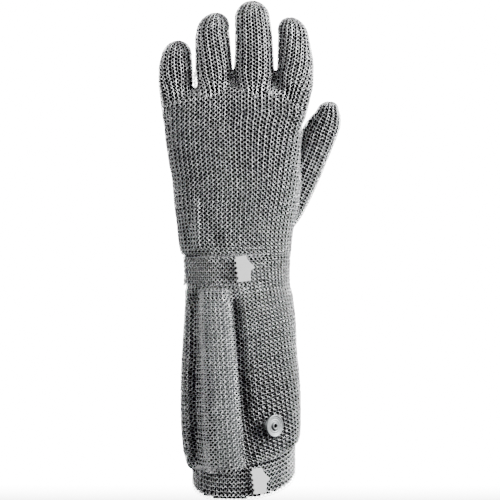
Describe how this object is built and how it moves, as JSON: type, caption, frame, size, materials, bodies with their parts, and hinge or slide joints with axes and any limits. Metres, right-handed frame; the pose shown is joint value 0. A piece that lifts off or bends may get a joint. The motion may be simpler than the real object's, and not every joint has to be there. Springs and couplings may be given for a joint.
{
  "type": "chainmail glove",
  "caption": "Long-cuffed ring-mesh safety glove for a left hand, with a wrist strap, a hem band, hooked clasps, a press stud and a stay in a pocket down the cuff.",
  "frame": {"origin": "the middle of the wrist inside the glove, where a wearer's wrist holds it", "axes": "+Z towards the fingertips, +X towards the thumb side, -Y out of the back of the hand"},
  "size_m": [0.1375, 0.0733, 0.3718],
  "materials": {
    "ring_mesh": "welded stainless rings, tumbled bright",
    "clasp_plate": "satin stamped stainless",
    "button_steel": "pressed stainless, dished",
    "stay": "natural nylon strip"
  },
  "bodies": {
    "root": {"cuff_mesh": "ring_mesh", "hand_mesh": "ring_mesh", "little_finger": "ring_mesh", "ring_finger": "ring_mesh", "middle_finger": "ring_mesh", "index_finger": "ring_mesh", "thumb": "ring_mesh", "thumb_gusset": "ring_mesh", "wrist_strap": "ring_mesh", "hem_band": "ring_mesh", "stay_pocket": "ring_mesh", "cuff_stay": "stay", "wrist_clasp": "clasp_plate", "hem_clasp": "clasp_plate", "button": "button_steel"}
  },
  "joints": []
}
